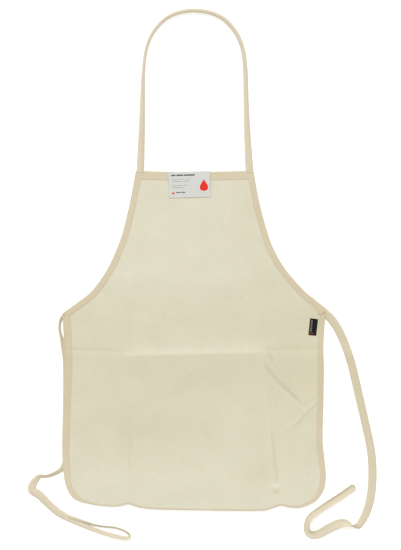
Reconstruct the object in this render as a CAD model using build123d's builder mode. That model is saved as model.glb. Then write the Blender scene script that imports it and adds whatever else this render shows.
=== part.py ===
from build123d import *
import os
from math import radians, tan

# Child's canvas painting apron, lying flat with the wearer's front up.
# +Z points out of the front, +Y towards the neck loop. Lengths are in millimetres.

# Materials
TAPE_WIDTH = 12.7  # double-fold cotton tape of the ties and the neck loop
TAPE_LAYER = 0.5  # one side of a folded binding
CLOTH = 0.6  # canvas
THREAD = 0.2  # how far a stitch row stands on its binding
THREAD_WIDTH = 0.8
LABEL = 0.3
STRAP_THICK = 1.6  # the tape's four layers, loosely folded
TIE_THICK = 1.0

# Heights above the surface that the apron lies on. The left tie runs beneath the apron.
APRON_Z = 1.2
CLOTH_Z = APRON_Z + TAPE_LAYER
BAND_TOP = CLOTH_Z + CLOTH + TAPE_LAYER
LABEL_Z = BAND_TOP + THREAD + 0.2

# Plan of the apron
LEFT_ARMHOLE = [(-98.3, 76.0), (-111.2, 30.0), (-131.6, -15.4), (-157.5, -49.7), (-177.0, -65.1)]
RIGHT_ARMHOLE = [(100.4, 76.0), (114.6, 30.0), (138.5, -15.4), (165.2, -45.4), (181.0, -60.0)]
BIB_LEFT = -87.3
BIB_RIGHT = 89.1
BIB_TOP = 134.0
BIB_DIP = 2.2  # the top edge sags this much in the middle
BIB_LEAN = 0.16  # the bib's sides lean in by this much of their height
WAIST_LEFT = (-197.4, -79.0)
WAIST_RIGHT = (197.4, -77.0)
CORNER_RADIUS = 42.0
HEM_LEFT = (-150.0, -367.5)
HEM_MIDDLE = (0.0, -376.3)
HEM_RIGHT = (155.0, -370.5)

# Bindings
ARMHOLE_BAND = 10.0
HEM_BAND = 9.0
TOP_BAND = 13.5
STITCH_MARGIN = 1.2  # from a binding's inner edge to its stitch row
FOLD_Y = -60.0  # the bib folds down along this line
FOLD_GAP = 0.6
WAIST_CUT = -84.0  # the armhole binding ends and the hem binding begins

# Labels: size, centre and tilt in degrees
LABELS = {
    "front_label": ((62.3, 38.8), (-6.8, 113.4), 1.5),
    "side_label": ((11.8, 25.0), (178.6, -100.1), -6.2),
}

# Bar tacks
BARTACK = (9.0, 1.6)
BARTACK_ROOM = 5.0  # stitch rows stop this far from a corner with a bar tack
BARTACKS = {
    "neck_bartack_left": (-81.0, 131.5),
    "neck_bartack_right": (83.2, 131.5),
    "waist_bartack_left": (-190.5, -80.0),
    "waist_bartack_right": (190.5, -78.5),
}

# Routes along the middle of each tape
NECK_ROUTE = [
    (-80.8, 134.5),
    (-78.4, 185),
    (-76.6, 240),
    (-75.8, 290),
    (-72.8, 320),
    (-62.5, 343),
    (-42.0, 362.0),
    (-15.0, 370.2),
    (16.0, 370.2),
    (43.5, 362.0),
    (63.8, 343),
    (74.6, 320),
    (78.0, 290),
    (78.7, 240),
    (80.8, 185),
    (83.4, 134.5),
]
LEFT_TIE_ROUTE = [
    (-189, -74),
    (-201, -96),
    (-198, -122),
    (-191, -160),
    (-190, -210),
    (-191.5, -260),
    (-192, -300),
    (-204, -320),
    (-226, -322),
    (-241, -334),
    (-236, -353),
    (-217, -367),
    (-195, -385),
    (-163, -402),
    (-130, -413),
    (-106, -419),
    (-94, -413),
    (-96, -401),
    (-116, -395),
    (-145, -389),
    (-170, -377),
    (-187, -362),
]
RIGHT_TIE_ROUTE = [
    (184, -71),
    (206, -85),
    (221, -112),
    (235, -150),
    (247, -197),
    (258, -245),
    (266.5, -290),
    (268, -330),
    (265, -358),
    (260, -382),
    (250, -395),
    (234, -399),
    (216, -397),
    (198, -404),
    (181, -413),
    (169, -406),
    (168, -391),
    (180, -378),
    (202, -367),
    (222, -355),
    (240.5, -339.5),
]


def outline(inset=0.0, raised=0.0):
    """The apron's cut shape, drawn in all round, or with its sides run on above the top edge."""
    left = [(BIB_LEFT, BIB_TOP), *LEFT_ARMHOLE, WAIST_LEFT]
    right = [(BIB_RIGHT, BIB_TOP), *RIGHT_ARMHOLE, WAIST_RIGHT]
    top_left = (BIB_LEFT + BIB_LEAN * raised, BIB_TOP + raised)
    top_right = (BIB_RIGHT - BIB_LEAN * raised, BIB_TOP + raised)
    side_left = (WAIST_LEFT[0], HEM_LEFT[1] + CORNER_RADIUS)
    side_right = (WAIST_RIGHT[0], HEM_RIGHT[1] + CORNER_RADIUS)
    with BuildSketch(Plane.XY) as shape:
        with BuildLine():
            for armhole in (left, right):
                for start in range(0, len(armhole) - 2, 2):
                    ThreePointArc(*armhole[start : start + 3])
            Line(WAIST_LEFT, side_left)
            Line(WAIST_RIGHT, side_right)
            TangentArc(side_left, HEM_LEFT, tangent=(0, -1))
            TangentArc(side_right, HEM_RIGHT, tangent=(0, -1))
            ThreePointArc(HEM_LEFT, HEM_MIDDLE, HEM_RIGHT)
            if raised:
                Line(left[0], top_left)
                Line(right[0], top_right)
            ThreePointArc(top_left, (0, BIB_TOP + raised - BIB_DIP), top_right)
        make_face()
        if inset:
            offset(amount=-inset, kind=Kind.ARC)
    return shape.sketch


def window(x_low, x_high, y_low, y_high):
    """A rectangle by its edges, used to keep one stretch of a band."""
    with BuildSketch(Plane.XY) as shape:
        with Locations(((x_low + x_high) / 2, (y_low + y_high) / 2)):
            Rectangle(x_high - x_low, y_high - y_low)
    return shape.sketch


def band(outer, inner, part_of):
    """The strip between two outlines, kept inside a window."""
    with BuildSketch(Plane.XY) as shape:
        add(outer)
        add(inner, mode=Mode.SUBTRACT)
        add(part_of, mode=Mode.INTERSECT)
    return shape.sketch


def binding(strip):
    """A tape folded over the cloth's edge: two layers joined by a wall outside the cloth."""
    with BuildPart() as folded:
        with BuildSketch(Plane.XY.offset(APRON_Z)):
            add(strip)
        extrude(amount=BAND_TOP - APRON_Z)
        with BuildSketch(Plane.XY.offset(CLOTH_Z)):
            add(cloth_shape)
        extrude(amount=CLOTH, mode=Mode.SUBTRACT)
    return folded.part


def flat(strip, bottom, height):
    """A strip given an even thickness."""
    with BuildPart() as plate:
        with BuildSketch(Plane.XY.offset(bottom)):
            add(strip)
        extrude(amount=height)
    return plate.part


def corner_radii(route):
    """The largest easy bend at each point between two runs."""
    radii = []
    for before, here, after in zip(route, route[1:], route[2:]):
        run_in = Vector(*here) - Vector(*before)
        run_out = Vector(*after) - Vector(*here)
        turn = run_in.get_angle(run_out)
        shorter = min(run_in.length, run_out.length)
        radii.append(0.45 * shorter / tan(radians(turn / 2)))
    return radii


def tape(name, route, bottom, thickness):
    """A flat tape lying along a route."""
    radii = corner_radii(route)
    middle = bottom + thickness / 2
    points = [(x, y, middle) for x, y in route]
    with BuildPart() as ribbon:
        with BuildLine():
            path = FilletPolyline(*points, radius=radii)
        start = path @ 0
        heading = path % 0
        with BuildSketch(Plane(origin=start, x_dir=(heading.Y, -heading.X, 0), z_dir=heading)):
            Rectangle(TAPE_WIDTH, thickness)
        sweep()
    length = path.length
    ratio = ribbon.part.volume / (length * TAPE_WIDTH * thickness)
    tightest = min(radii)
    print(f"{name}: length {length:.1f}, tightest radius {tightest:.1f}, volume ratio {ratio:.3f}")
    print("  radii " + " ".join(f"{radius:.0f}" for radius in radii))
    return ribbon.part


cut_shape = outline()
cloth_shape = outline(inset=TAPE_LAYER)
armhole_inner = outline(inset=ARMHOLE_BAND, raised=40)
armhole_row_outer = outline(inset=ARMHOLE_BAND - STITCH_MARGIN - THREAD_WIDTH, raised=40)
armhole_row_inner = outline(inset=ARMHOLE_BAND - STITCH_MARGIN, raised=40)
hem_inner = outline(inset=HEM_BAND)
hem_row_outer = outline(inset=HEM_BAND - STITCH_MARGIN - THREAD_WIDTH)
hem_row_inner = outline(inset=HEM_BAND - STITCH_MARGIN)

BIB_LOW = FOLD_Y + FOLD_GAP / 2
SKIRT_HIGH = FOLD_Y - FOLD_GAP / 2
FAR = 400.0
bib_window = window(-FAR, FAR, BIB_LOW, FAR)
skirt_window = window(-FAR, FAR, -FAR, SKIRT_HIGH)

parts = {}

# The cloth, cut across the line where the bib folds down
for name, part_of in (("bib_panel", bib_window), ("skirt_panel", skirt_window)):
    with BuildSketch(Plane.XY) as cloth:
        add(cloth_shape)
        add(part_of, mode=Mode.INTERSECT)
    parts[name] = flat(cloth.sketch, CLOTH_Z, CLOTH)

# Folded tape over the top edge, between the armhole bindings, and its stitch row
top_low = BIB_TOP - TOP_BAND
with BuildSketch(Plane.XY) as top_strip:
    add(cut_shape)
    add(armhole_inner, mode=Mode.INTERSECT)
    add(window(-FAR, FAR, top_low, FAR), mode=Mode.INTERSECT)
parts["top_binding"] = binding(top_strip.sketch)
row_low = top_low + STITCH_MARGIN
with BuildSketch(Plane.XY) as top_row:
    add(armhole_inner)
    add(window(-FAR, FAR, row_low, row_low + THREAD_WIDTH), mode=Mode.INTERSECT)
parts["top_stitching"] = flat(top_row.sketch, BAND_TOP, THREAD)

# Armhole bindings and their stitch rows, cut at the same fold line
for side, x_low, x_high in (("left", -FAR, 0), ("right", 0, FAR)):
    upper = window(x_low, x_high, BIB_LOW, FAR)
    lower = window(x_low, x_high, WAIST_CUT, SKIRT_HIGH)
    upper_row = window(x_low, x_high, BIB_LOW, BIB_TOP - BARTACK_ROOM)
    lower_row = window(x_low, x_high, WAIST_LEFT[1] + BARTACK_ROOM, SKIRT_HIGH)
    for level, kept, kept_row in (("upper", upper, upper_row), ("lower", lower, lower_row)):
        strip = band(cut_shape, armhole_inner, kept)
        row = band(armhole_row_outer, armhole_row_inner, kept_row)
        parts[f"armhole_binding_{side}_{level}"] = binding(strip)
        parts[f"armhole_stitching_{side}_{level}"] = flat(row, BAND_TOP, THREAD)

# One binding down both sides and round the bottom, and its stitch row
hem_strip = band(cut_shape, hem_inner, window(-FAR, FAR, -FAR, WAIST_CUT))
hem_row = band(hem_row_outer, hem_row_inner, window(-FAR, FAR, -FAR, WAIST_CUT - BARTACK_ROOM))
parts["hem_binding"] = binding(hem_strip)
parts["hem_stitching"] = flat(hem_row, BAND_TOP, THREAD)

# Bar tacks where the neck loop and the ties are sewn on
for name, place in BARTACKS.items():
    with BuildPart() as bartack:
        with BuildSketch(Plane.XY.offset(BAND_TOP)):
            with Locations(place):
                SlotOverall(*BARTACK)
        extrude(amount=THREAD)
    parts[name] = bartack.part

# Labels, each free to flip about its sewn edge
for name, (size, at, tilt) in LABELS.items():
    with BuildPart() as label:
        with BuildSketch(Plane.XY.offset(LABEL_Z)):
            with Locations(Location(at, tilt)):
                Rectangle(*size)
        extrude(amount=LABEL)
    parts[name] = label.part

# Tapes: the loop over the neck and the two waist ties
parts["neck_strap"] = tape("neck_strap", NECK_ROUTE, APRON_Z, STRAP_THICK)
parts["waist_tie_left"] = tape("waist_tie_left", LEFT_TIE_ROUTE, 0, TIE_THICK)
parts["waist_tie_right"] = tape("waist_tie_right", RIGHT_TIE_ROUTE, 0, TIE_THICK)

os.makedirs("parts", exist_ok=True)
for name, part in parts.items():
    part.label = name
    export_step(part, f"parts/{name}.step")
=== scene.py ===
"""A child's canvas painting apron, laid flat: cloth, folded bindings, tapes, stitches and labels
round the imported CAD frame. Lengths are in millimetres until a mesh is built."""

import math

import bmesh
import bpy
import numpy as np
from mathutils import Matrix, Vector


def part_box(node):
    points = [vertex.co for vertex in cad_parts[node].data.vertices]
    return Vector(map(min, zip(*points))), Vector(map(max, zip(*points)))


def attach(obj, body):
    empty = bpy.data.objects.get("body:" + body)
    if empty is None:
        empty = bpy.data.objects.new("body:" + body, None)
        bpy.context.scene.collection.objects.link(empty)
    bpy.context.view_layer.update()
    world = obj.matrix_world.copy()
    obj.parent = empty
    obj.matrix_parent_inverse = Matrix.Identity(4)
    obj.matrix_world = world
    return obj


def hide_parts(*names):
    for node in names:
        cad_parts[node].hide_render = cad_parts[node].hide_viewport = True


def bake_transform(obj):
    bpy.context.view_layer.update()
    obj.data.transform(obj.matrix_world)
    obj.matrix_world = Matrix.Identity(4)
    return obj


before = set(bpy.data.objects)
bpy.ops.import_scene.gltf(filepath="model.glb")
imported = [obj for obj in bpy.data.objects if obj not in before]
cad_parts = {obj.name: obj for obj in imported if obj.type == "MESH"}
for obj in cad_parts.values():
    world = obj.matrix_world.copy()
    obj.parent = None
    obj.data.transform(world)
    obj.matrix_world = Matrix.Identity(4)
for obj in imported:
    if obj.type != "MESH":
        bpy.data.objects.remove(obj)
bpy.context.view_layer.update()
MM = 0.001


def side(node, end, axis):
    """One side of a CAD node's box, in millimetres: end 0 is its low side and 1 its high side."""
    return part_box(node)[end][axis] / MM


# -------- sizes, in millimetres

CLOTH_LOW = side("skirt_panel", 0, 2)
CLOTH_TOP = side("skirt_panel", 1, 2)
BAND_LOW = side("hem_binding", 0, 2)
BAND_TOP = side("hem_binding", 1, 2)
BIB_TOP = side("bib_panel", 1, 1) + 0.5
FOLD_Y = side("bib_panel", 0, 1) - 0.3
FRONT_LABEL_Z = side("front_label", 0, 2) + 0.15
SIDE_LABEL_Z = CLOTH_TOP + 0.25
TACK_Z = BAND_TOP + 0.32
TIE_LOW = 0.2
NECK_LOW = BAND_LOW - 0.3

TAPE_WIDTH = 12.7
TAPE_THICK = 1.0
ARMHOLE_BAND = 10.0
TOP_BAND = 13.5
FOLD_HALF = 4.0  # mesh points lie closer within twice this of the bib's fold line
CLOTH_MARGIN = 0.7  # how far the cloth's rim lies inside its bindings' edge
LABEL_THICK = 0.28
STITCH_PITCH = 3.1
STITCH_LENGTH = 2.5
STITCH_WIDTH = 0.62
STITCH_INSET = 1.5
TACK_PITCH = 0.55
TACK_SLANT = 0.25

# How close together mesh points are
EDGE_STEP = 1.0
BAND_STEP = 2.0
BAND_FOLD_STEP = 0.7
TAPE_STEP = 0.8
ROW_STEP = 1.6
HEM_ROW_STEP = 1.0
FOLD_ROW_STEP = 0.8
LABEL_STEP = 0.35
CLOTH_COLUMNS = 246
TAPE_ACROSS = 13
BAND_ACROSS = 12
EDGE_TURN = 7

# fmt: off
# The outline: points on each edge, left and right as seen in the picture
ARMHOLE_LEFT = [
    (-87.3, 134), (-95.6, 89.6), (-106.2, 44.6), (-117, 14.6), (-131.3, -15.4), (-152.7, -45.4),
    (-174, -62.6), (-197.2, -79.5),
]
ARMHOLE_RIGHT = [
    (89.1, 134), (97.4, 89.6), (109.3, 44.6), (120.6, 14.6), (138.6, -15.4), (165, -45.4),
    (182.5, -60), (197.2, -77),
]
SKIRT_LEFT = [
    (-197.2, -79.5), (-194.5, -128), (-194, -165), (-196.8, -235), (-197.6, -285), (-195.2, -322),
    (-190, -343), (-178.5, -358), (-156, -365.5),
]
SKIRT_BOTTOM = [
    (-156, -365.5), (-133, -368.6), (-116, -368.9), (-105, -366.9), (-98, -365.6), (-90, -367.9),
    (-76, -371.6), (-40, -373.8), (40, -375.3), (98, -375.5), (115, -372.4), (126, -368.6),
    (132, -367.8), (139, -369.8), (150, -371.2), (163, -369.8),
]
SKIRT_RIGHT = [
    (163, -369.8), (183, -360), (194.5, -343), (197.6, -322), (195.2, -296), (192.7, -268),
    (193.8, -215), (194.6, -165), (194, -125), (197.2, -77),
]
TOP_EDGE = [(-87.3, 134.2), (-45, 133), (0, 132.4), (45, 133.3), (89.1, 134.2)]

# Where the cloth has been creased or pushed up: ends, height, how far it falls away to the left
# and to the right of the line from the first end to the second, and how much painted shade lies
# along it (below 0, a painted highlight)
CREASES = [
    ((-97, -144.5), (104, -139.5), 1.7, 9, 30, 0),
    ((-97, -143), (102, -138), 0.4, 3, 2.5, -0.2),
    ((-192, -133), (-97, -137), -0.4, 3, 3, 0.7),
    ((106, -134), (191, -131), -0.15, 3, 3, 0.6),
    ((111, -138), (121, -158), -0.7, 2.4, 2.4, 1),
    ((-97, -40), (-97, -362), 0.5, 3, 2.2, 0.25),
    ((102, -150), (117, -300), 1.3, 8, 4, -0.3),
    ((117, -265), (126, -337), -0.9, 2.5, 2.5, 1.2),
    ((106, -157), (128, -187), -1.4, 2.4, 3.4, 1),
    ((127, -184), (160, -215), -1.6, 2.4, 3.4, 1.3),
    ((145, -251), (185, -211), 0.9, 3.2, 2.4, 0.3),
    ((-60, -52), (60, -38), 0.9, 14, 26, -0.3),
]
# Swells, the last of them small: centre, half widths and height
SWELLS = [
    ((-75, -262), (60, 34), -1), ((98, -318), (32, 30), -0.9), ((30, -85), (90, 26), -0.8),
    ((0, 60), (60, 50), 0.6), ((20, -235), (80, 30), 1), ((-20, -340), (150, 22), 0.7),
    ((155, -290), (26, 60), 0.8), ((-150, -215), (30, 60), 0.7),
    ((122.5, -341.5), (5.5, 4.5), 1.3),
]
BROAD_WAVE = 0.35
FINE_WAVE = 0.2
BASE_LIFT = 1.1
CALM_AT_FOLD = 0.35  # what is left of all this at the bib's fold
CREASE_FADE = 24  # over this length a crease fades at each end
CREASE_SHADE_REACH = 2.0  # a crease's painted shade or highlight is never wider than this on either side
CALM_PLACE = ((182, -100), (26, 26))  # the cloth lies flat round the side label
LOWEST_LIFT = -0.6
# Painted shade, partly the cloth's own deeper tone, darker down the middle of the skirt: by height,
# and then in places
FULL_SHADE_AND_TONE = 2.0
SHADE_AND_TONE_BY_HEIGHT = [
    (-20, 0), (-50, 0.4), (-80, 0.85), (-112, 0.85), (-127, 0.5), (-137, 0.35), (-146, 1.15),
    (-200, 1.05), (-260, 0.8), (-310, 0.4), (-345, 0),
]
SHADE_AND_TONE_PLACES = [
    ((130, -97), (36, 30), 0.4), ((-133, -90), (35, 16), 0.15), ((38, -94), (28, 16), 0.4),
    ((160, -175), (34, 34), 0.35), ((12, -191), (46, 28), 0.3), ((-63, -257), (48, 34), 0.5),
    ((-107, -272), (22, 30), 0.3), ((96, -328), (26, 22), 0.6), ((66, -240), (34, 44), -0.3),
    ((35, -290), (40, 28), -0.2), ((-165, -330), (26, 26), -0.15), ((150, -131), (46, 14), 0.8),
    ((-145, -128), (44, 13), 0.5), ((122.5, -347.5), (6, 3.5), 1.5), ((84, 52), (28, 62), 0.55),
    ((118, -28), (34, 34), 0.6), ((176, -85), (18, 26), 0.4),
]

# The three tapes. For each point of the route: x, y, how far the tape leans over and how far it
# curls up lengthwise, in degrees, how much of its width is folded out, and how far it is lifted
NECK_LOOP = [
    (-80.6, 132, 2, 80, 0.97, 0), (-78.6, 185, 6, 118, 0.9, 0), (-77, 240, 10, 158, 0.8, 0),
    (-75.8, 288, 12, 262, 0.64, 0), (-71.3, 320, 14, 320, 0.76, 0), (-60.6, 344, 16, 320, 0.88, 0),
    (-41.2, 364.4, 16, 300, 0.96, 0), (-15, 374, 14, 280, 0.94, 0), (16, 374, 12, 270, 0.94, 0),
    (43, 364.5, 10, 262, 1, 0), (62.4, 343.8, 6, 250, 0.96, 0), (73.2, 320, 0, 232, 0.88, 0),
    (77.2, 288, -4, 208, 0.83, 0), (78, 240, -6, 178, 0.86, 0), (80, 185, -5, 138, 0.96, 0),
    (83.2, 132, -2, 80, 1, 0),
]
LEFT_TIE = [
    (-184, -77, 0, 20, 0.4, 0), (-191, -80, 0, 20, 0.42, 0), (-197, -84, 20, 20, 0.46, 0),
    (-201, -91.5, 66, 20, 0.6, 0), (-201.8, -104, 72, 20, 0.7, 0),
    (-198.4, -116.5, 66, 20, 0.8, 0), (-194.5, -129, 40, 20, 0.95, 0),
    (-190.4, -145, 10, 20, 1, 0), (-189.8, -175, 0, 20, 1, 0), (-190.2, -220, 0, 20, 1, 0),
    (-190.4, -262, 0, 20, 1, 0), (-190, -296, 0, 20, 0.85, 0), (-197, -313, 16, 40, 0.62, 0),
    (-208.5, -319.5, 42, 60, 0.62, 0), (-221.5, -324.2, 48, 60, 0.6, 0),
    (-231, -322.6, 30, 60, 0.52, 0), (-234.5, -326, 0, 40, 0.7, 0),
    (-241.5, -334.5, 0, 20, 0.88, 0), (-244.8, -345.2, 0, 40, 1.06, 0),
    (-232.5, -350.5, 0, 60, 1.04, 0), (-219.5, -364.5, 0, 70, 0.95, 0),
    (-203, -379.5, 0, 60, 0.92, 0), (-181, -389.7, 8, 50, 0.76, 0), (-150, -404, 30, 40, 0.52, 0),
    (-118, -414, 40, 40, 0.62, 0), (-94.5, -417.8, 50, 40, 0.5, 0), (-97, -408.4, 60, 40, 0.54, 0),
    (-116, -400, 64, 40, 0.52, 0), (-142, -398.5, 56, 40, 0.44, 0.2),
    (-163, -392.5, 36, 60, 0.44, 0.9), (-189, -384, 14, 90, 0.58, 1.1),
]
RIGHT_TIE = [
    (180, -66, 0, 20, 1, 0), (199, -80, 0, 20, 1, 0), (213, -97, 0, 20, 1, 0),
    (224.8, -121, 0, 20, 1, 0), (236, -153, 0, 20, 1, 0), (246.2, -198, 4, 20, 0.98, 0),
    (256.8, -243, 8, 40, 0.98, 0), (267, -290, 8, 20, 1, 0), (268, -330, 4, 20, 1, 0),
    (264.5, -360, 0, 20, 1, 0), (259, -377.5, 0, 20, 0.96, 0), (254, -387.5, 0, 20, 0.9, 0),
    (248.8, -395.3, 2, 30, 0.86, 0.1), (246.8, -398.8, 8, 60, 0.84, 0.3),
    (241, -397.4, 40, 110, 0.8, 0.8), (235.5, -395.8, 120, 130, 0.9, 0.6),
    (226.5, -392.8, 156, 70, 1.04, 0.2), (217, -394.5, 168, 30, 1.1, 0),
    (203, -401, 172, 20, 1.1, 0), (184, -412.5, 176, 20, 1, 0), (171, -410.5, 196, 90, 1, 0),
    (167.5, -398.5, 220, 150, 1, 0), (171.5, -385, 218, 140, 1, 0), (187, -374.5, 204, 130, 1, 0),
    (207, -361.5, 192, 135, 1, 0), (224, -350.5, 188, 130, 1, 0), (241.5, -338.5, 186, 110, 1, 0),
]
# fmt: on


# -------- lines and surfaces


def smooth_line(points, spacing, fine=None):
    """Points along a smooth line through a few given ones, closer together near the bib's fold."""
    given = np.array(points, float)
    first = 2 * given[0] - given[1]
    last = 2 * given[-1] - given[-2]
    padded = np.vstack([first, given, last])
    dense = []
    steps = np.linspace(0, 1, 24, endpoint=False)[:, None]
    for a, b, c, d in zip(padded, padded[1:], padded[2:], padded[3:]):
        bend = 2 * a - 5 * b + 4 * c - d
        twist = 3 * b - a - 3 * c + d
        dense.append(b + 0.5 * (steps * (c - a) + steps**2 * bend + steps**3 * twist))
    dense.append(given[-1:])
    return spread_out(np.vstack(dense), spacing, fine)


def along(line):
    """How far along a line each of its points is."""
    return np.concatenate([[0], np.cumsum(np.linalg.norm(np.diff(line, axis=0), axis=1))])


def spread_out(line, spacing, fine=None):
    """The same line with even spacing, or finer within reach of the bib's fold line."""
    run = along(line)
    weight = np.ones(len(line))
    if fine:
        weight[np.abs(line[:, 1] - FOLD_Y) < 2 * FOLD_HALF] = spacing / fine
    cost = np.concatenate([[0], np.cumsum(np.diff(run) * (weight[1:] + weight[:-1]) / 2)])
    count = max(2, int(round(cost[-1] / spacing)))
    return sampled(line, run, np.interp(np.linspace(0, cost[-1], count + 1), cost, run))


def sampled(rows, run, wanted):
    """Rows read off at the wanted distances, where run is how far along each given row is."""
    return np.stack([np.interp(wanted, run, column) for column in rows.T], axis=1)


def tangents(line):
    """Unit directions along a line."""
    step = np.gradient(line, axis=0)
    return step / np.linalg.norm(step, axis=1, keepdims=True)


def to_the_right(direction):
    """Level unit vectors to the right of each direction."""
    flat = np.stack([direction[:, 1], -direction[:, 0]], axis=1)
    return flat / np.linalg.norm(flat, axis=1, keepdims=True)


def smoothed(values, reach):
    """A running mean over a few neighbours each way."""
    window = np.ones(2 * reach + 1) / (2 * reach + 1)
    return np.convolve(np.pad(values, reach, mode="edge"), window, mode="valid")


def ease(t):
    """A smooth step from 0 to 1."""
    t = np.clip(t, 0, 1)
    return t * t * (3 - 2 * t)


def lift(x, y):
    """How far the lying cloth stands above its lowest level."""
    x, y = np.asarray(x, float), np.asarray(y, float)
    height = BROAD_WAVE * np.sin(x / 31 + 0.8) * np.sin(y / 43 + 0.4)
    height = height + FINE_WAVE * np.sin(x / 13 - y / 19) * np.sin(y / 17 + x / 29)
    for start, end, tall, left, right, _ in CREASES:
        height = height + tall * near_crease(x, y, start, end, left, right)
    for centre, spread, tall in SWELLS:
        height = height + tall * near_place(x, y, centre, spread)
    calm = CALM_AT_FOLD + (1 - CALM_AT_FOLD) * ease(np.abs(y - FOLD_Y) / 30 - 0.25)
    calm = calm * (1 - near_place(x, y, *CALM_PLACE))
    return np.maximum((height + BASE_LIFT) * calm, LOWEST_LIFT)


def near_crease(x, y, start, end, left, right):
    """1 on a crease line, falling to 0 beyond its reach on each side and past its ends."""
    line = np.subtract(end, start).astype(float)
    length = np.hypot(*line)
    line /= length
    forward = (x - start[0]) * line[0] + (y - start[1]) * line[1]
    across = (x - start[0]) * line[1] - (y - start[1]) * line[0]
    reach = np.where(across < 0, left, right)
    fade = ease((forward + 10) / CREASE_FADE) * ease((length + 10 - forward) / CREASE_FADE)
    return fade * np.exp(-((across / reach) ** 2))


def near_place(x, y, centre, spread):
    """1 at a place, falling to 0 around it."""
    return np.exp(-(((x - centre[0]) / spread[0]) ** 2) - ((y - centre[1]) / spread[1]) ** 2)


def shade_and_tone_at(x, y):
    """Painted shade, partly the cloth's own deeper tone, here: 1 is the middle of the skirt."""
    heights, amounts = np.array(SHADE_AND_TONE_BY_HEIGHT[::-1], float).T
    shade_and_tone = np.interp(y, heights, amounts)
    for centre, spread, amount in SHADE_AND_TONE_PLACES:
        shade_and_tone = shade_and_tone + amount * near_place(x, y, centre, spread)
    # painted shade along each crease, a painted highlight where its value is below 0
    for start, end, _, left, right, crease_shade in CREASES:
        left, right = min(left, CREASE_SHADE_REACH), min(right, CREASE_SHADE_REACH)
        shade_and_tone = shade_and_tone + crease_shade * near_crease(x, y, start, end, left, right)
    return np.clip(shade_and_tone, 0, FULL_SHADE_AND_TONE)


class Patches:
    """Gathers grids of points into one mesh, each with its own material and flat layout."""

    def __init__(self):
        self.points, self.quads, self.layout, self.slots = [], [], [], []
        self.count = 0

    def grid(self, points, layout, slot=0, ring=False):
        """Adds a grid of rows by columns. layout gives each point's place on the flat cloth. A ring
        joins its last column to its first, and its layout has one more column."""
        rows, columns = points.shape[:2]
        numbers = self.count + np.arange(rows * columns).reshape(rows, columns)
        if ring:
            numbers = np.hstack([numbers, numbers[:, :1]])
        quads = np.stack(
            [numbers[:-1, :-1], numbers[1:, :-1], numbers[1:, 1:], numbers[:-1, 1:]], axis=-1
        )
        corners = np.stack(
            [layout[:-1, :-1], layout[1:, :-1], layout[1:, 1:], layout[:-1, 1:]], axis=-2
        )
        self.points.append(points.reshape(-1, 3))
        self.add(quads.reshape(-1, 4), corners.reshape(-1, 4, 2), slot)
        self.count += rows * columns
        return numbers

    def add(self, quads, corners, slot):
        """Adds faces, with their corners' places on the flat cloth."""
        self.quads.append(quads)
        self.layout.append(corners)
        self.slots.append(np.full(len(quads), slot))

    def cap(self, numbers, layout, slot=0):
        """Closes a ring with quads between its first half and its second."""
        half = len(numbers) // 2
        top, bottom = numbers[:half], numbers[half:][::-1]
        quads = np.stack([top[:-1], top[1:], bottom[1:], bottom[:-1]], axis=-1)
        self.add(quads, np.tile(layout, (len(quads), 4, 1)), slot)

    def sheet(self, x, y, high, low, layout):
        """A closed sheet: its upper face, its lower face and the rims between them."""
        upper = self.grid(np.dstack([x, y, high]), layout)
        lower = self.grid(np.dstack([x, y, low])[:, ::-1], layout[:, ::-1])[:, ::-1]
        rims = (
            (upper[0], lower[0]),
            (upper[-1][::-1], lower[-1][::-1]),
            (upper[::-1, 0], lower[::-1, 0]),
            (upper[:, -1], lower[:, -1]),
        )
        for above, below in rims:
            quads = np.stack([above[1:], below[1:], below[:-1], above[:-1]], axis=-1)
            self.add(quads, np.zeros((len(quads), 4, 2)), 0)

    def build(self, name, materials):
        """One Blender mesh, in metres."""
        mesh = bpy.data.meshes.new(name)
        quads = np.vstack(self.quads)
        mesh.from_pydata((np.vstack(self.points) * MM).tolist(), [], quads.tolist())
        flat = mesh.uv_layers.new(name="flat")
        flat.data.foreach_set("uv", (np.vstack(self.layout) * MM).ravel())
        for material in materials:
            mesh.materials.append(material)
        mesh.polygons.foreach_set("material_index", np.concatenate(self.slots).astype(int))
        mesh.polygons.foreach_set("use_smooth", np.full(len(quads), True))
        # painted shade, partly the cloth's own deeper tone, for each point
        shade_and_tone = mesh.attributes.new("shade_and_tone", "FLOAT", "POINT")
        place = np.vstack(self.points)
        shade_and_tone.data.foreach_set("value", shade_and_tone_at(place[:, 0], place[:, 1]).astype(np.float32))
        shells = bmesh.new()
        shells.from_mesh(mesh)
        bmesh.ops.recalc_face_normals(shells, faces=shells.faces)
        shells.to_mesh(mesh)
        shells.free()
        return show(name, mesh)


def show(name, data):
    """A new object in the scene that shows this data."""
    shown = bpy.data.objects.new(name, data)
    bpy.context.scene.collection.objects.link(shown)
    return shown


def tube_of_rings(patches, rings, slot=0):
    """Adds a closed tube from its rings, with caps."""
    lengths = along(rings.mean(axis=1))
    steps = np.linalg.norm(np.diff(np.hstack([rings, rings[:, :1]]), axis=1), axis=2)
    round_it = np.concatenate([[0], np.cumsum(steps.mean(axis=0))])
    layout = np.stack(np.meshgrid(round_it, lengths), axis=-1)
    numbers = patches.grid(rings, layout, slot, ring=True)
    patches.cap(numbers[0, :-1][::-1], layout[0, 0], slot)
    patches.cap(numbers[-1, :-1], layout[-1, 0], slot)


# One stitch: a small thread pill lying along its seam, pulled down at both ends
PILL_RINGS = np.array([-1.0, -0.8, -0.3, 0.3, 0.8, 1.0])
PILL_SIZES = np.array([0.25, 0.75, 1.0, 1.0, 0.75, 0.25])
PILL_SIDES = 6
PILL_SINK = 0.18
PILL_HEIGHT = 0.8  # as a share of its width


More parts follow.
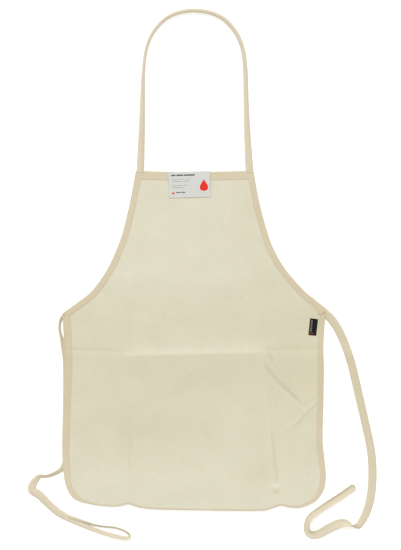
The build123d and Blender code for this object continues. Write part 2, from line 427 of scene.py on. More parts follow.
def add_stitches(patches, places, directions, ups, slot):
    """A pill at each place, lying along its direction with its back along up."""
    turn = np.linspace(0, 2 * math.pi, PILL_SIDES, endpoint=False)
    for place, direction, up in zip(places, directions, ups):
        across = np.cross(direction, up)
        centres = place + np.outer(PILL_RINGS * STITCH_LENGTH / 2, direction)
        centres -= np.outer(PILL_SINK * np.abs(PILL_RINGS) ** 2, up)
        wide = np.cos(turn)[:, None] * across * STITCH_WIDTH / 2
        tall = np.sin(turn)[:, None] * up * STITCH_WIDTH / 2 * PILL_HEIGHT
        rings = centres[:, None] + (wide + tall)[None] * PILL_SIZES[:, None, None]
        tube_of_rings(patches, rings, slot)


# -------- materials


def new_material(name, roughness, sheen=0.0):
    """A material and its shader."""
    material = bpy.data.materials.new(name)
    material.use_nodes = True
    shader = material.node_tree.nodes["Principled BSDF"]
    shader.inputs["Roughness"].default_value = roughness
    shader.inputs["Sheen Weight"].default_value = sheen
    shader.inputs["Sheen Roughness"].default_value = 0.6
    shader.inputs["Specular IOR Level"].default_value = 0.25
    return material, shader


def add_node(material, kind, values=(), **settings):
    """A node of that kind, with input values by name or number and settings by name."""
    node = material.node_tree.nodes.new(kind)
    for key, value in settings.items():
        setattr(node, key, value)
    for key, value in dict(values).items():
        if isinstance(value, bpy.types.NodeSocket):
            material.node_tree.links.new(value, node.inputs[key])
        else:
            node.inputs[key].default_value = value
    return node


def calculate(material, operation, first, second=None, third=None, clamp=False):
    """The output of one Math node."""
    values = {number: v for number, v in enumerate((first, second, third)) if v is not None}
    node = add_node(material, "ShaderNodeMath", values, operation=operation, use_clamp=clamp)
    return node.outputs[0]


def mixed(material, factor, first, second, blend="MIX"):
    """The colour output of one Mix node."""
    node = add_node(material, "ShaderNodeMix", data_type="RGBA", blend_type=blend)
    for number, value in ((0, factor), (6, first), (7, second)):
        if isinstance(value, bpy.types.NodeSocket):
            material.node_tree.links.new(value, node.inputs[number])
        else:
            node.inputs[number].default_value = value
    return node.outputs[2]


def linear(red, green, blue):
    """A colour given as 0 to 255 on a screen, as a shader takes it."""
    scaled = [channel / 255 for channel in (red, green, blue)]
    return [c / 12.92 if c <= 0.04045 else ((c + 0.055) / 1.055) ** 2.4 for c in scaled] + [1]


def flat_place(material, across=1.0, lengthways=1.0):
    """The place on the flat cloth, in millimetres times the two scales."""
    place = add_node(material, "ShaderNodeUVMap", uv_map="flat").outputs[0]
    values = {"Vector": place, "Scale": (across / MM, lengthways / MM, 1)}
    return add_node(material, "ShaderNodeMapping", values).outputs[0]


def noise(material, place, size, detail=2.0, roughness=0.5):
    """A noise value whose features are about size across, in millimetres."""
    values = {"Vector": place, "Scale": 1 / size, "Detail": detail, "Roughness": roughness}
    return add_node(material, "ShaderNodeTexNoise", values, noise_dimensions="2D").outputs[0]


def shaded(material, colour, shade):
    """A colour made darker or lighter by one value."""
    grey = add_node(material, "ShaderNodeCombineColor", {0: shade, 1: shade, 2: shade}).outputs[0]
    return mixed(material, 1.0, linear(*colour), grey, "MULTIPLY")


def with_share(material, tone, extra, amount, less):
    """A tone with some of an extra value added and a fixed level taken off."""
    lowered = calculate(material, "SUBTRACT", tone, less)
    return calculate(material, "MULTIPLY_ADD", extra, amount, lowered)


def finish_material(material, shader, colour, height, relief, strength):
    """Joins the colour and the relief, in millimetres, to the shader."""
    links = material.node_tree.links
    links.new(colour, shader.inputs["Base Color"])
    values = {"Height": height, "Distance": relief * MM, "Strength": strength}
    bump = add_node(material, "ShaderNodeBump", values)
    links.new(bump.outputs[0], shader.inputs["Normal"])
    return material


WANDER_SIZE = 9.0
WANDER = 1.1  # how far a yarn strays from its straight line


def woven_height(material, pitch):
    """Plain weave: threads that ride over and under each other at that pitch, with uneven yarn."""
    place = flat_place(material)
    wander = noise(material, place, WANDER_SIZE, 2.0)
    split = add_node(material, "ShaderNodeSeparateXYZ", {0: place})
    waves = []
    for number in (0, 1):
        shifted = calculate(material, "MULTIPLY_ADD", wander, WANDER, split.outputs[number])
        angle = calculate(material, "MULTIPLY", shifted, math.pi / pitch)
        waves.append(calculate(material, "SINE", angle))
    over = calculate(material, "MULTIPLY", waves[0], waves[1])
    over = calculate(material, "MULTIPLY_ADD", over, 0.5, 0.5)
    fuzz = noise(material, place, 0.5, 3.0, 0.7)
    return calculate(material, "MULTIPLY_ADD", fuzz, 0.5, over)


# the colour of the painted shade, partly the cloth's own deeper tone
SHADE_AND_TONE_TINT = (0.886, 0.862, 0.785, 1)
WARM_TINT = (255, 249, 234)
FLECK_COLOUR = (150, 118, 78)
FLECK_SPACING = 7.0
FLECK_RADIUS = 0.075  # as a share of the spacing
FLECK_STRENGTH = 0.16
FLECKS_LEFT_OUT = 0.55  # the share of places that have none


def cotton(name, colour, pitch=0.75, relief=0.22, slub=0.05, blotch=0.04, flecks=True):
    """Unbleached cotton: plain weave, slubs along both threads, soft blotches and seed flecks."""
    material, shader = new_material(name, roughness=0.92, sheen=0.15)
    place = flat_place(material)
    across = noise(material, flat_place(material, 0.12, 1.3), 1.0, 2.0, 0.6)
    down = noise(material, flat_place(material, 1.3, 0.12), 1.0, 2.0, 0.6)
    cloud = noise(material, place, 38.0, 3.0, 0.55)
    grain = noise(material, place, 1.5, 2.0, 0.6)
    height = woven_height(material, pitch)
    tone = calculate(material, "ADD", across, down)
    tone = calculate(material, "MULTIPLY_ADD", tone, slub * 2, 1 - slub * 2)
    tone = with_share(material, tone, cloud, blotch * 2, blotch)
    tone = with_share(material, tone, grain, slub * 1.6, slub * 0.8)
    # painted shade: the weave's hollows darker and its raised threads lighter
    tone = with_share(material, tone, height, 0.05, 0.037)
    tinted = warmed(material, shaded(material, colour, tone), place)
    # painted shade from the mesh, partly the cloth's own deeper tone
    tinted = with_shade_and_tone(material, tinted)
    if flecks:
        tinted = flecked(material, tinted, place)
    return finish_material(material, shader, tinted, height, relief, 0.8)


def warmed(material, colour, place):
    """The colour with slightly warmer patches."""
    patchy = noise(material, place, 17.0, 2.0)
    share = calculate(material, "MULTIPLY_ADD", patchy, 0.5, -0.2, clamp=True)
    warm = mixed(material, 1.0, colour, linear(*WARM_TINT), "MULTIPLY")
    return mixed(material, share, colour, warm)


def with_shade_and_tone(material, colour):
    """The colour, darkened by the mesh's painted shade, partly the cloth's own deeper tone."""
    shade_and_tone = add_node(material, "ShaderNodeAttribute", attribute_name="shade_and_tone").outputs["Fac"]
    share = calculate(material, "DIVIDE", shade_and_tone, FULL_SHADE_AND_TONE, clamp=True)
    return mixed(material, share, colour, mixed(material, 1.0, colour, SHADE_AND_TONE_TINT, "MULTIPLY"))


def flecked(material, colour, place):
    """The colour with small brown flecks of seed."""
    values = {"Vector": place, "Scale": 1 / FLECK_SPACING}
    spots = add_node(material, "ShaderNodeTexVoronoi", values, voronoi_dimensions="2D")
    chance = add_node(material, "ShaderNodeSeparateXYZ", {0: spots.outputs["Color"]}).outputs[0]
    near = calculate(material, "LESS_THAN", spots.outputs["Distance"], FLECK_RADIUS)
    rare = calculate(material, "GREATER_THAN", chance, FLECKS_LEFT_OUT)
    both = calculate(material, "MULTIPLY", near, rare)
    fleck = calculate(material, "MULTIPLY", both, FLECK_STRENGTH)
    return mixed(material, fleck, colour, linear(*FLECK_COLOUR))


def thread(name, colour):
    """Twisted sewing thread."""
    material, shader = new_material(name, roughness=0.7, sheen=0.2)
    split = add_node(material, "ShaderNodeSeparateXYZ", {0: flat_place(material)})
    lean = calculate(material, "MULTIPLY_ADD", split.outputs[0], 4.0, split.outputs[1])
    twist = calculate(material, "SINE", calculate(material, "MULTIPLY", lean, 9.0))
    # painted shade: darker in the twist's grooves, where the relief is low
    shade = calculate(material, "MULTIPLY_ADD", twist, 0.06, 0.94)
    tinted = shaded(material, colour, shade)
    return finish_material(material, shader, tinted, twist, 0.05, 0.6)


def smooth_fabric(name, colour, roughness, pitch, relief, tone=0.02, sheen=0.1):
    """Finely woven label cloth, with faint unevenness."""
    material, shader = new_material(name, roughness, sheen)
    height = woven_height(material, pitch)
    cloud = noise(material, flat_place(material), 6.0, 3.0)
    shade = calculate(material, "MULTIPLY_ADD", cloud, tone * 2, 1 - tone)
    tinted = shaded(material, colour, shade)
    return finish_material(material, shader, tinted, height, relief, 0.6)


def printed(name, colour, roughness=0.6):
    """The printed label's thin smooth cloth."""
    return smooth_fabric(name, colour, roughness, pitch=0.28, relief=0.03)


def woven(name, colour, roughness=0.6, sheen=0.2):
    """The side label's coarser weave."""
    return smooth_fabric(name, colour, roughness, pitch=0.45, relief=0.1, tone=0.1, sheen=sheen)


def tape_cotton(name, colour):
    """Cotton tape: a finer weave than the canvas, without flecks."""
    return cotton(name, colour, pitch=0.55, relief=0.16, slub=0.04, flecks=False)


CANVAS = cotton("canvas", (221, 216, 194))
BINDING = tape_cotton("binding tape", (214, 202, 175))
STRAP = tape_cotton("strap tape", (217, 206, 181))
THREAD = thread("sewing thread", (228, 219, 194))
LABEL_WHITE = printed("label white", (210, 210, 205), 0.55)
LABEL_INK = printed("label ink", (84, 84, 86))
LABEL_GREY = printed("label grey", (165, 167, 168))
LABEL_RED = printed("label red", (226, 40, 24), 0.55)
WOVEN_BLACK = woven("woven black", (14, 12, 11), 0.75, 0.02)
WOVEN_PALE = woven("woven pale", (112, 100, 92))
WOVEN_RED = woven("woven red", (96, 24, 24))


# -------- camera, light and floor

PICTURE_TALL = 825.0
CAMERA_PLACE = (9.75, -22.1, 3200.0)
SENSOR = 36.0
ROOM_COLOUR = (1.03, 1, 0.955, 1)
ROOM_STRENGTH = 0.69
WINDOW_COLOUR = (0.95, 1.0, 1.07)
WINDOW_POWER = 1.72
WINDOW_SPREAD = 24
WINDOW_LEAN = (-44, -14, 0)
FLOOR_HALF = 6000.0
FLOOR_COLOUR = (0.8, 0.8, 0.8, 1)
FLOOR_GLOW = 0.42


def make_camera():
    """A long lens straight above."""
    lens = bpy.data.cameras.new("camera")
    lens.sensor_width = SENSOR
    lens.lens = SENSOR * CAMERA_PLACE[2] / PICTURE_TALL
    camera = show("camera", lens)
    camera.location = [distance * MM for distance in CAMERA_PLACE]
    bpy.context.scene.camera = camera


def make_light():
    """A soft room and one softer light from beyond the neck loop."""
    scene = bpy.context.scene
    scene.view_settings.view_transform = "Standard"
    world = bpy.data.worlds.new("room")
    scene.world = world
    world.use_nodes = True
    room = world.node_tree.nodes["Background"]
    room.inputs["Color"].default_value = ROOM_COLOUR
    room.inputs["Strength"].default_value = ROOM_STRENGTH

    lamp = bpy.data.lights.new("window", "SUN")
    lamp.energy = WINDOW_POWER
    lamp.color = WINDOW_COLOUR
    lamp.angle = math.radians(WINDOW_SPREAD)
    window = show("window", lamp)
    window.rotation_euler = [math.radians(angle) for angle in WINDOW_LEAN]


def make_floor():
    """A wide white floor with a faint glow, so that shadows stay pale."""
    half = FLOOR_HALF * MM
    mesh = bpy.data.meshes.new("floor")
    corners = [(-half, -half, 0), (half, -half, 0), (half, half, 0), (-half, half, 0)]
    mesh.from_pydata(corners, [], [(0, 1, 2, 3)])
    floor = show("floor", mesh)
    white = bpy.data.materials.new("floor white")
    white.use_nodes = True
    shader = white.node_tree.nodes["Principled BSDF"]
    shader.inputs["Base Color"].default_value = FLOOR_COLOUR
    shader.inputs["Roughness"].default_value = 0.9
    shader.inputs["Specular IOR Level"].default_value = 0.0
    shader.inputs["Emission Color"].default_value = (1, 1, 1, 1)
    shader.inputs["Emission Strength"].default_value = FLOOR_GLOW
    mesh.materials.append(white)


make_camera()
make_light()
make_floor()


# -------- tapes


def spline_points(name, rows):
    """Points along a smooth spline with the given control points."""
    curve = bpy.data.curves.new(name, "CURVE")
    curve.dimensions = "3D"
    curve.resolution_u = 24
    spline = curve.splines.new("NURBS")
    spline.points.add(len(rows) - 1)
    for point, row in zip(spline.points, rows):
        point.co = (*row, 1)
    spline.order_u = 3
    spline.use_endpoint_u = True
    holder = show(name, curve)
    bpy.context.view_layer.update()
    shown = holder.evaluated_get(bpy.context.evaluated_depsgraph_get())
    mesh = bpy.data.meshes.new_from_object(shown)
    points = np.array([vertex.co for vertex in mesh.vertices], float)
    bpy.data.objects.remove(holder)
    bpy.data.meshes.remove(mesh)
    return points


# How many rings on each side, and how many times, a tape's turning and resting are smoothed
TURN_REACH, TURN_PASSES = 7, 2
REST_REACH, REST_PASSES = 5, 3
RING_PASSES = 6
PUCKER = 0.035  # how far the stitches draw a tape up and down
EDGE_FROM = 0.86  # a tape thins from here to its edge, as a share of its half width
EDGE_THINNING = 0.65


def tape_section(width, curl):
    """A tape's curve from edge to edge: how far across and up, and which way its back faces."""
    share = np.linspace(-0.5, 0.5, TAPE_ACROSS)
    angle = np.radians(np.maximum(curl, 1.0))[:, None]
    radius = width[:, None] / angle
    turn = share[None] * angle
    across = radius * np.sin(turn)
    up = radius * (np.cos(turn) - np.cos(angle / 2))
    return across, up, np.sin(turn), np.cos(turn)


def tape_directions(line, roll):
    """Along a tape's line, which way its route heads, its width lies and its back faces."""
    level = to_the_right(tangents(line))
    for _ in range(TURN_PASSES):
        level = np.stack([smoothed(column, TURN_REACH) for column in level.T], axis=1)
    level /= np.linalg.norm(level, axis=1, keepdims=True)
    sideways = np.hstack([level, np.zeros((len(line), 1))])
    forward = np.cross([0, 0, 1.0], sideways)
    upward = np.cross(sideways, forward)
    lean = np.radians(roll)[:, None]
    wide = np.cos(lean) * sideways + np.sin(lean) * upward
    back = -np.sin(lean) * sideways + np.cos(lean) * upward
    return forward, wide, back


def tape_rings(line, wide, back, width, curl, wanted):
    """Closed sections of a tape: over its back and back under its face."""
    across, up, tilt, face = tape_section(width, curl)
    edge = (np.abs(np.linspace(-1, 1, TAPE_ACROSS)) - EDGE_FROM) / (1 - EDGE_FROM)
    edge = 1 - np.clip(edge, 0, 1) ** 2 * EDGE_THINNING
    pucker = PUCKER * np.sin(wanted / STITCH_PITCH * 2 * math.pi)[:, None] * np.ones(TAPE_ACROSS)
    layers = []
    for sign in (1, -1):
        thick = sign * edge[None] * TAPE_THICK / 2 + pucker
        x = across + tilt * thick
        z = up + face * thick
        layer = line[:, None] + wide[:, None] * x[..., None] + back[:, None] * z[..., None]
        layers.append(layer if sign > 0 else layer[:, ::-1])
    return np.concatenate(layers, axis=1)


def settle(rings, line):
    """Lets a tape's sections down until each rests at its line's height, and evens them out."""
    rest = rings[..., 2].min(axis=1) - (line[:, 2] - TAPE_THICK / 2)
    for _ in range(REST_PASSES):
        rest = smoothed(rest, REST_REACH)
    rings[..., 2] -= rest[:, None]
    rings[..., 2] = np.maximum(rings[..., 2], TIE_LOW)
    for _ in range(RING_PASSES):
        rings[1:-1] = (rings[:-2] + 2 * rings[1:-1] + rings[2:]) / 4


def make_tape(name, low, tip, table):
    """A flat tape along its route, leaning and curling as it goes, with its stitches. Its far end
    rounds off over the length tip."""
    x, y, roll, curl, spread, lifted = np.array(table, float).T
    control = np.column_stack([x, y, low + TAPE_THICK / 2 + lifted]) * MM
    path = spline_points(name + "_path", control) / MM
    bends = spline_points(name + "_bends", np.column_stack([roll, curl, spread]))
    run = along(path)
    wanted = np.linspace(0, run[-1], int(run[-1] / TAPE_STEP) + 1)
    line = sampled(path, run, wanted)
    roll, curl, spread = (np.interp(wanted, run, column) for column in bends.T)
    forward, wide, back = tape_directions(line, roll)
    left = np.clip((wanted[-1] - wanted) / tip, 0, 1)
    rounded = 0.3 + 0.7 * np.sqrt(1 - (1 - left) ** 2)
    rings = tape_rings(line, wide, back, TAPE_WIDTH * spread * rounded, curl, wanted)
    settle(rings, line)

    patches = Patches()
    tube_of_rings(patches, rings, 0)
    add_tape_stitches(patches, rings, forward, wanted)
    piece = patches.build(name, [STRAP, THREAD])
    return piece, rings.mean(axis=1)


def add_tape_stitches(patches, rings, forward, wanted):
    """A row of stitches on both faces, near the edge where the tape's folds meet."""
    last = 2 * TAPE_ACROSS - 1
    for near, further in ((1, 2), (last - 1, last - 2)):
        row = rings[:, near] * 0.4 + rings[:, further] * 0.6
        aside = rings[:, further] - rings[:, near]
        out = np.cross(aside, forward)
        centre = rings.mean(axis=1)
        out *= np.sign(((row - centre) * out).sum(axis=1))[:, None]
        out /= np.linalg.norm(out, axis=1, keepdims=True)
        at = np.arange(STITCH_PITCH, wanted[-1] - STITCH_PITCH, STITCH_PITCH)
        place, heading, facing = (sampled(rows, wanted, at) for rows in (row, forward, out))
        add_stitches(patches, place, heading, facing, 1)


def make_tapes():
    """The neck loop and both waist ties."""
    strap, line = make_tape("neck_loop", NECK_LOW, 0.1, NECK_LOOP)
    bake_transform(strap)
    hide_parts("neck_strap")

    left, line = make_tape("tie_left", TIE_LOW, 8.0, LEFT_TIE)
    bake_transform(left)
    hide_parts("waist_tie_left")

    right, line = make_tape("tie_right", TIE_LOW, 4.0, RIGHT_TIE)
    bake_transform(right)
    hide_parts("waist_tie_right")


make_tapes()


# -------- cloth

HEM_CORNER = 14  # up to this height the hem corners turn so fast that rows lie closer
TOP_SAG_REACH = 60  # how far into the cloth the top edge's shape is carried, and the bottom's
LOW_SAG_REACH = 26


def cloth_rows(low):
    """Heights of the cloth's rows: close at the rounded hem corners and at the bib's fold."""
    heights = np.arange(low, BIB_TOP + 0.01, 0.1)
    spacing = np.full(len(heights), ROW_STEP)
    spacing[heights < low + HEM_CORNER] = HEM_ROW_STEP
    spacing[np.abs(heights - FOLD_Y) < 2 * FOLD_HALF] = FOLD_ROW_STEP
    cost = np.cumsum(0.1 / spacing)
    return np.interp(np.linspace(cost[0], cost[-1], int(cost[-1]) + 1), cost, heights)


def side_edge(skirt, armhole):
    """One side of the cloth from the hem up, with a corner at the waist."""
    return np.vstack([smooth_line(skirt, EDGE_STEP), smooth_line(armhole, EDGE_STEP)[1:]])


def edge_at(edge, share):
    """The point of a side edge at a share of the way from its lowest point to the bib's top."""
    wanted = edge[0, 1] + share * (BIB_TOP - edge[0, 1])
    return np.array([np.interp(wanted, edge[:, 1], edge[:, 0]), wanted])


def heights_across(line, columns):
    """How high an edge that runs across is at each column."""
    return np.interp(columns, (line[:, 0] - line[0, 0]) / np.ptp(line[:, 0]), line[:, 1])


def shrink_in(points, margin):
    """Draws the cloth's rim in, so that the bindings cover it."""
    centre = points.mean(axis=(0, 1))
    out = points - centre
    size = np.linalg.norm(out, axis=-1, keepdims=True)
    return points - out / np.maximum(size, 1) * margin


def flat_cloth():
    """The lying cloth seen from above: rows of points from the hem up."""
    left = side_edge(SKIRT_LEFT[::-1], ARMHOLE_LEFT[::-1])
    right = side_edge(SKIRT_RIGHT, ARMHOLE_RIGHT[::-1])
    bottom = smooth_line(SKIRT_BOTTOM, BAND_STEP)
    low = max(left[0, 1], right[0, 1])
    rows = cloth_rows(low)
    columns = np.linspace(0, 1, CLOTH_COLUMNS)
    top_sag = heights_across(smooth_line(TOP_EDGE, BAND_STEP), columns) - BIB_TOP
    low_sag = heights_across(bottom, columns)
    low_sag = low_sag - (bottom[0, 1] + (bottom[-1, 1] - bottom[0, 1]) * columns)
    points = np.zeros((len(rows), len(columns), 2))
    for number, height in enumerate(rows):
        share = (height - low) / (BIB_TOP - low)
        start, end = edge_at(left, share), edge_at(right, share)
        points[number] = start + (end - start) * columns[:, None]
        points[number, :, 1] += top_sag * ease(1 - (BIB_TOP - height) / TOP_SAG_REACH)
        points[number, :, 1] += low_sag * np.exp(-(height - low) / LOW_SAG_REACH)
    return shrink_in(points, CLOTH_MARGIN)


def make_cloth():
    """One cloth for bib and skirt, both faces, following the outline and its own creases."""
    points = flat_cloth()
    x, y = points[..., 0], points[..., 1]
    rise = lift(x, y)
    patches = Patches()
    patches.sheet(x, y, CLOTH_TOP + rise, CLOTH_LOW + rise, points)
    cloth = patches.build("canvas", [CANVAS])
    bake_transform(cloth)
    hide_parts("skirt_panel", "bib_panel")


make_cloth()


# -------- bindings

GROOVE = 0.12  # how deep a stitch row pulls the band down
INNER_TURN = 0.9  # the tape's inner face turns this far inside the band's edge
INNER_NOSE = 0.75
SKIN = 0.05  # how far the inner face goes into the cloth
STITCH_OVER = 0.06
STITCH_UNDER = 0.12


def ripple(run):
    """How a band rises and falls along its length."""
    return 0.1 * np.sin(run / 9.0 + 0.7 * np.sin(run / 23)) + 0.05 * np.sin(run / 3.7)


def binding_rings(line, top_width, low_width, top_z, outward):
    """Closed sections of a tape folded over the cloth's edge, along a line."""
    run = along(line)
    out = to_the_right(tangents(line)) * outward
    widths = np.broadcast_to(top_width, run.shape)
    unders = np.broadcast_to(low_width, run.shape)
    sections = [binding_section(wide, under, top_z) for wide, under in zip(widths, unders)]
    offset, height = np.moveaxis(np.array(sections), -1, 0)
    inside = line[:, None] + out[:, None] * offset[..., None]
    rise = lift(inside[..., 0], inside[..., 1])
    near_row = np.exp(-((offset + (widths[:, None] - STITCH_INSET)) ** 2) / 2)
    wave = ripple(run)[:, None] * (1 - near_row * 0.5) - GROOVE * near_row
    return np.dstack([inside, height + rise + (height > CLOTH_TOP + 0.3) * wave])


def at_height(offset, height):
    """Section points at those offsets from the edge, all at one height or at the heights given."""
    return np.column_stack([offset, np.broadcast_to(height, offset.shape)])


def binding_section(wide, under, top_z):
    """Offsets out from the edge and heights round a folded tape: its outer face, then its inner."""
    middle = (top_z + BAND_LOW) / 2
    radius = (top_z - BAND_LOW) / 2
    turn = np.linspace(math.pi / 2, -math.pi / 2, EDGE_TURN)
    share = np.concatenate([[0], np.linspace(0.03, 1, BAND_ACROSS - 1)])
    top = at_height(-wide + share * (wide - radius), top_z)
    top[0, 1] = CLOTH_TOP - 0.1
    top[1, 1] = CLOTH_TOP + 0.25
    nose = at_height(-radius + radius * np.cos(turn), middle + radius * np.sin(turn))
    low = at_height(-radius - share * (under - radius), BAND_LOW)
    outer = np.vstack([top, nose[1:-1], low])
    inner_top = at_height(-wide + share * (wide - INNER_TURN), CLOTH_TOP - SKIN)
    inner_nose = at_height(
        np.full(EDGE_TURN - 2, -INNER_NOSE), np.linspace(CLOTH_TOP, CLOTH_LOW, EDGE_TURN - 2)
    )
    inner_low = at_height(-INNER_TURN - share * (under - INNER_TURN), CLOTH_LOW + SKIN)
    inner = np.vstack([inner_top, inner_nose, inner_low])
    return np.vstack([outer, inner[::-1]])


def add_band_stitches(patches, line, inset, outward, top_z):
    """Stitches on a band's top face and on its underside, that far inside the edge."""
    run = along(line)
    at = np.arange(STITCH_PITCH, run[-1] - STITCH_PITCH, STITCH_PITCH)
    place = sampled(line, run, at)
    direction = tangents(place)
    width = np.interp(at, run, np.broadcast_to(inset, run.shape))[:, None]
    place = place - to_the_right(direction) * outward * width
    heading = np.hstack([direction, np.zeros((len(at), 1))])
    rise = lift(place[:, 0], place[:, 1])
    over = top_z - GROOVE + STITCH_OVER + ripple(at) / 2
    for level, facing in ((over, 1.0), (BAND_LOW + STITCH_UNDER, -1.0)):
        spots = np.column_stack([place, level + rise])
        ups = np.tile([0, 0, facing], (len(at), 1))
        add_stitches(patches, spots, heading, ups, 1)


def make_binding(name, line, outward, top_width, low_width, top_z, nodes):
    """A binding with its stitches in one piece."""
    patches = Patches()
    tube_of_rings(patches, binding_rings(line, top_width, low_width, top_z, outward), 0)
    add_band_stitches(patches, line, np.asarray(top_width) - STITCH_INSET, outward, top_z)
    piece = patches.build(name, [BINDING, THREAD])
    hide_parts(*nodes)
    return piece


# The round tape's width on the front, by share of its length, and on both faces together
HEM_WIDTH_AT = [0.0, 0.2, 0.26, 0.30, 0.335, 0.62, 0.66, 0.71, 0.76, 1.0]
HEM_WIDTHS = [12.0, 11.5, 10.0, 8.5, 2.6, 2.6, 4.0, 8.0, 9.6, 9.0]
HEM_BOTH = 20


def make_bindings():
    """The top edge, both armholes across the bib's fold, and one tape round the skirt."""
    line = smooth_line(TOP_EDGE, BAND_STEP)
    nodes = ["top_binding", "top_stitching"]
    top = make_binding("top_band", line, -1, TOP_BAND, TOP_BAND - 2, BAND_TOP - 0.05, nodes)
    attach(top, "bib")
    for name, points, outward in (("left", ARMHOLE_LEFT, 1), ("right", ARMHOLE_RIGHT, -1)):
        line = smooth_line(points, BAND_STEP, BAND_FOLD_STEP)
        nodes = [
            f"armhole_{kind}_{name}_{level}"
            for kind in ("binding", "stitching")
            for level in ("upper", "lower")
        ]
        widths = (ARMHOLE_BAND, ARMHOLE_BAND - 1)
        band = make_binding(f"armhole_band_{name}", line, outward, *widths, BAND_TOP + 0.15, nodes)
        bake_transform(band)
    line = smooth_line(SKIRT_LEFT + SKIRT_BOTTOM[1:] + SKIRT_RIGHT[1:], BAND_STEP)
    width = np.interp(along(line) / along(line)[-1], HEM_WIDTH_AT, HEM_WIDTHS)
    nodes = ["hem_binding", "hem_stitching"]
    hem = make_binding("hem_band", line, 1, width, HEM_BOTH - width, BAND_TOP, nodes)
    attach(hem, "skirt")


make_bindings()


# -------- bar tacks


def make_bartack(name, centre, turn, length, body, node):
    """A dense bar of zigzag stitches."""
    patches = Patches()
    direction = np.array([math.cos(math.radians(turn)), math.sin(math.radians(turn)), 0])
    across = np.array([-direction[1], direction[0], 0])
    rise = lift(*centre) + TACK_Z
    count = int(length / TACK_PITCH)
    for number in range(count):
        shift = (number / (count - 1) - 0.5) * length
        place = np.array([*centre, rise + 0.05]) + direction * shift
        slant = across + direction * (TACK_SLANT if number % 2 else -TACK_SLANT)
        add_stitches(patches, [place], [slant / np.linalg.norm(slant)], [np.array([0, 0, 1.0])], 0)
    piece = patches.build(name, [THREAD])
    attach(piece, body)
    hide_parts(node)


make_bartack("tack_neck_left", (-81.0, 132.3), 2, 10.5, "bib", "neck_bartack_left")
make_bartack("tack_neck_right", (83.4, 132.3), -2, 10.5, "bib", "neck_bartack_right")
make_bartack("tack_waist_left", (-189.5, -80.5), -35, 9, "skirt", "waist_bartack_left")
make_bartack("tack_waist_right", (189.0, -78.5), 38, 9, "skirt", "waist_bartack_right")


# -------- labels


def make_label(name, centre, low, size, tilt, marks, materials, body, node, bow, outline=None):
    """A thin label whose print is laid out in its own faces. Marks are a test for each material."""
    wide, tall = size
    cosine, sine = math.cos(math.radians(tilt)), math.sin(math.radians(tilt))

    def place(across, up):
        x = centre[0] + across * cosine - up * sine
        y = centre[1] + across * sine + up * cosine
        return x, y, low + np.maximum(lift(x, y), 0) + bow(across / wide, up / tall)

    across, up = np.meshgrid(
        np.linspace(-wide / 2, wide / 2, int(wide / LABEL_STEP) + 1),
        np.linspace(-tall / 2, tall / 2, int(tall / LABEL_STEP) + 1),
    )
    x, y, base = place(across, up)
    layout = np.dstack([across, up])
    patches = Patches()
    patches.sheet(x, y, base + LABEL_THICK, base, layout)
    middle = (layout[:-1, :-1] + layout[1:, 1:]) / 2
    slot = np.zeros(middle.shape[:2])
    for index, test in marks:
        slot[test(middle[..., 0], middle[..., 1])] = index
    patches.slots[0] = slot.reshape(-1)
    if outline is not None:
        add_print(patches, place, outline, 3)
    label = patches.build(name, materials)
    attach(label, body)
    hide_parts(node)
    return label


def bar(x_low, x_high, y_low, y_high):
    """A test for a plain rectangle."""
    return lambda x, y: (x > x_low) & (x < x_high) & (y > y_low) & (y < y_high)


def dashes(x_low, x_high, y_low, y_high, words, gap=1.1):
    """A test for a line of plain dashes with gaps between."""

    def test(x, y):
        inside = bar(x_low, x_high, y_low, y_high)(x, y)
        for place in words:
            inside &= ~((x > place) & (x < place + gap))
        return inside

    return test


DROP_PLACE = (21.6, -1.2)
DROP_SIZE = (8.97, 8.9)


def drop_outline():
    """A plain drop of paint, from its point round to its point."""
    turn = np.linspace(0, 2 * math.pi, 96, endpoint=False)
    x = DROP_PLACE[0] + DROP_SIZE[0] * np.sin(turn) * np.sin(turn / 2) ** 1.6
    return np.stack([x, DROP_PLACE[1] + DROP_SIZE[1] * np.cos(turn)], axis=1)


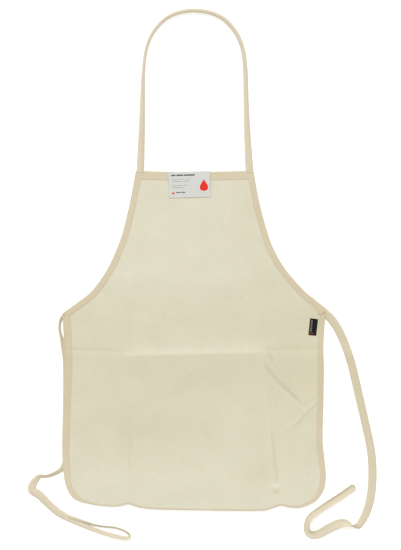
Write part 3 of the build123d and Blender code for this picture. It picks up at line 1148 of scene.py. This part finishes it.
# A printed shape's rings: their share of its outline, and how high they are above the label's back
PRINT_RINGS = ((1, 0.2), (1, 0.3), (0.97, 0.31), (0.7, 0.31), (0.4, 0.31), (0.1, 0.31))


def add_print(patches, place, outline, slot):
    """A printed shape with a smooth outline, just proud of the label's face."""
    middle = outline.mean(axis=0)
    rings, layout = [], []
    for share, height in PRINT_RINGS:
        spots = middle + (outline - middle) * share
        x, y, base = place(*spots.T)
        rings.append(np.column_stack([x, y, base + height]))
        layout.append(np.vstack([spots, spots[:1]]))
    numbers = patches.grid(np.array(rings), np.array(layout), slot, ring=True)
    for end in (0, -1):
        patches.cap(numbers[end, :-1], layout[end][0], slot)


front = make_label(
    "label_front",
    (-6.8, 113.5),
    FRONT_LABEL_Z,
    (62.3, 38.8),
    1.5,
    [
        (1, dashes(-27.0, 8.5, 13.2, 15.0, [-20.5, -9.0])),
        (2, dashes(-26.0, 2.0, 7.6, 8.6, [-16.0, -7.0])),
        (2, dashes(-26.0, -1.0, 4.6, 5.6, [-12.0])),
        (2, dashes(-26.0, -4.0, -1.6, -0.6, [-18.0, -10.0])),
        (2, dashes(-26.0, -9.0, -4.8, -3.8, [-15.0])),
        (1, dashes(-20.5, -6.5, -12.4, -10.8, [-14.0])),
        (3, bar(-26.4, -22.6, -14.0, -11.2)),
    ],
    [LABEL_WHITE, LABEL_INK, LABEL_GREY, LABEL_RED],
    "front_label_flap",
    "front_label",
    lambda u, v: -0.6 * ease((0.1 - v) / 0.6) + 0.1 * ease(0.5 - v) * np.cos(u * 5),
    drop_outline(),
)
side_label = make_label(
    "label_side",
    (178.6, -100.1),
    SIDE_LABEL_Z,
    (11.8, 25.0),
    -6.2,
    [
        (1, lambda x, y: dashes(-7.2, 10.2, -4.0, -1.6, [-5.2, -1.4, 1.2, 5.2], 0.7)(y, x)),
        (2, bar(-5.2, 1.6, -11.6, -8.4)),
    ],
    [WOVEN_BLACK, WOVEN_PALE, WOVEN_RED],
    "side_label_flap",
    "side_label",
    lambda u, v: 0.1 * ease(0.5 - u),
)
